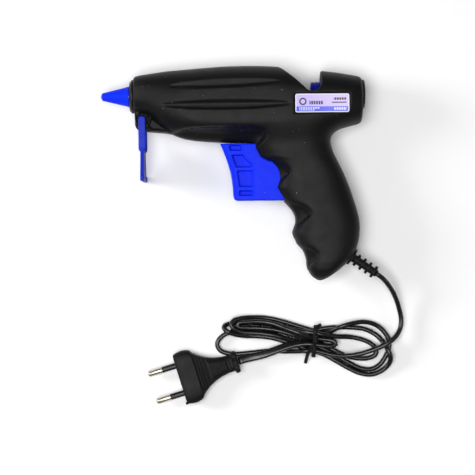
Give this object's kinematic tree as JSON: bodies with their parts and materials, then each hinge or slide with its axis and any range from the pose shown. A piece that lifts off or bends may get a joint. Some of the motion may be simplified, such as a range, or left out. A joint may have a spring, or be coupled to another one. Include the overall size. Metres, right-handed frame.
{
  "type": "hot glue gun",
  "caption": "Corded trigger hot glue gun lying on its side: pistol housing, cone nozzle, sliding trigger, fold-out stand and a tied mains lead with a flat two-pin plug",
  "frame": {"origin": "centre of the footprint of the gun without its lead, on the surface that the gun lies on", "axes": "the gun lies on its right side: +X runs back along the glue stick's axis from nozzle to inlet, +Y is up when the gun is held, +Z points out of its left side"},
  "size_m": [0.1958, 0.2192, 0.044],
  "materials": {
    "shell_black": "fine spark texture",
    "blue_plastic": "satin",
    "navy_plastic": "satin",
    "cord_black": "glossy",
    "aluminium": "cast",
    "brass": "turned",
    "nickel": "plated",
    "steel": "satin",
    "ceramic": "matte",
    "silicone": "matte",
    "label": "satin film",
    "wire_white": "satin"
  },
  "bodies": {
    "gun": {"housing_left": "shell_black", "housing_right": "shell_black", "front_collar": "shell_black", "rear_ring": "shell_black", "nozzle_cover": "blue_plastic", "strain_relief": "cord_black", "cord_stub": "cord_black", "cord_lead": "cord_black", "cord_tail": "cord_black", "cord_hank": "cord_black", "cord_tie": "cord_black", "plug_body": "cord_black", "pin_sleeve_1": "cord_black", "pin_sleeve_2": "cord_black", "melt_chamber": "aluminium", "nozzle": "brass", "plug_pin_1": "nickel", "plug_pin_2": "nickel", "check_spring": "steel", "heater_clamp": "steel", "sleeve_clamp": "steel", "lever_pin": "steel", "return_spring": "steel", "housing_screw_1": "steel", "housing_screw_2": "steel", "housing_screw_3": "steel", "housing_screw_4": "steel", "housing_screw_5": "steel", "housing_screw_6": "steel", "housing_screw_7": "steel", "clamp_screw_1": "steel", "clamp_screw_2": "steel", "heater_element": "ceramic", "inlet_sleeve": "silicone", "rating_label": "label", "cord_clamp": "wire_white", "heater_lead_1": "wire_white", "heater_lead_2": "wire_white"},
    "trigger": {"trigger": "blue_plastic"},
    "lever": {"feed_lever": "blue_plastic"},
    "carriage": {"feed_carriage": "blue_plastic"},
    "stand": {"stand": "navy_plastic"},
    "valve_ball": {"check_ball": "steel"}
  },
  "joints": [
    {"name": "trigger_slide", "type": "slide", "parent": "gun", "child": "trigger", "axis": [1, 0, 0], "range_m": [0, 0.012], "stiffness_N_per_m": 250, "springref_m": -0.004, "deforming": ["return_spring"]},
    {"name": "lever_swing", "type": "hinge", "parent": "gun", "child": "lever", "pos_m": [0.0518, 0.02755, 0.022], "axis": [0, 0, 1], "range_deg": [0, 37.2]},
    {"name": "carriage_feed", "type": "slide", "parent": "gun", "child": "carriage", "axis": [-1, 0, 0], "range_m": [0, 0.0122]},
    {"name": "stand_hinge", "type": "hinge", "parent": "gun", "child": "stand", "pos_m": [-0.0585, 0.03515, 0.022], "axis": [0, 0, 1], "range_deg": [-20, 50]},
    {"name": "valve_lift", "type": "slide", "parent": "gun", "child": "valve_ball", "axis": [-1, 0, 0], "range_m": [0, 0.0015], "stiffness_N_per_m": 60, "springref_m": -0.001, "deforming": ["check_spring"]}
  ],
  "couplings": [
    {"joint": "lever_swing", "follows": "trigger_slide", "rad_per_m": 53.9},
    {"joint": "carriage_feed", "follows": "trigger_slide", "ratio": 1.0056}
  ]
}
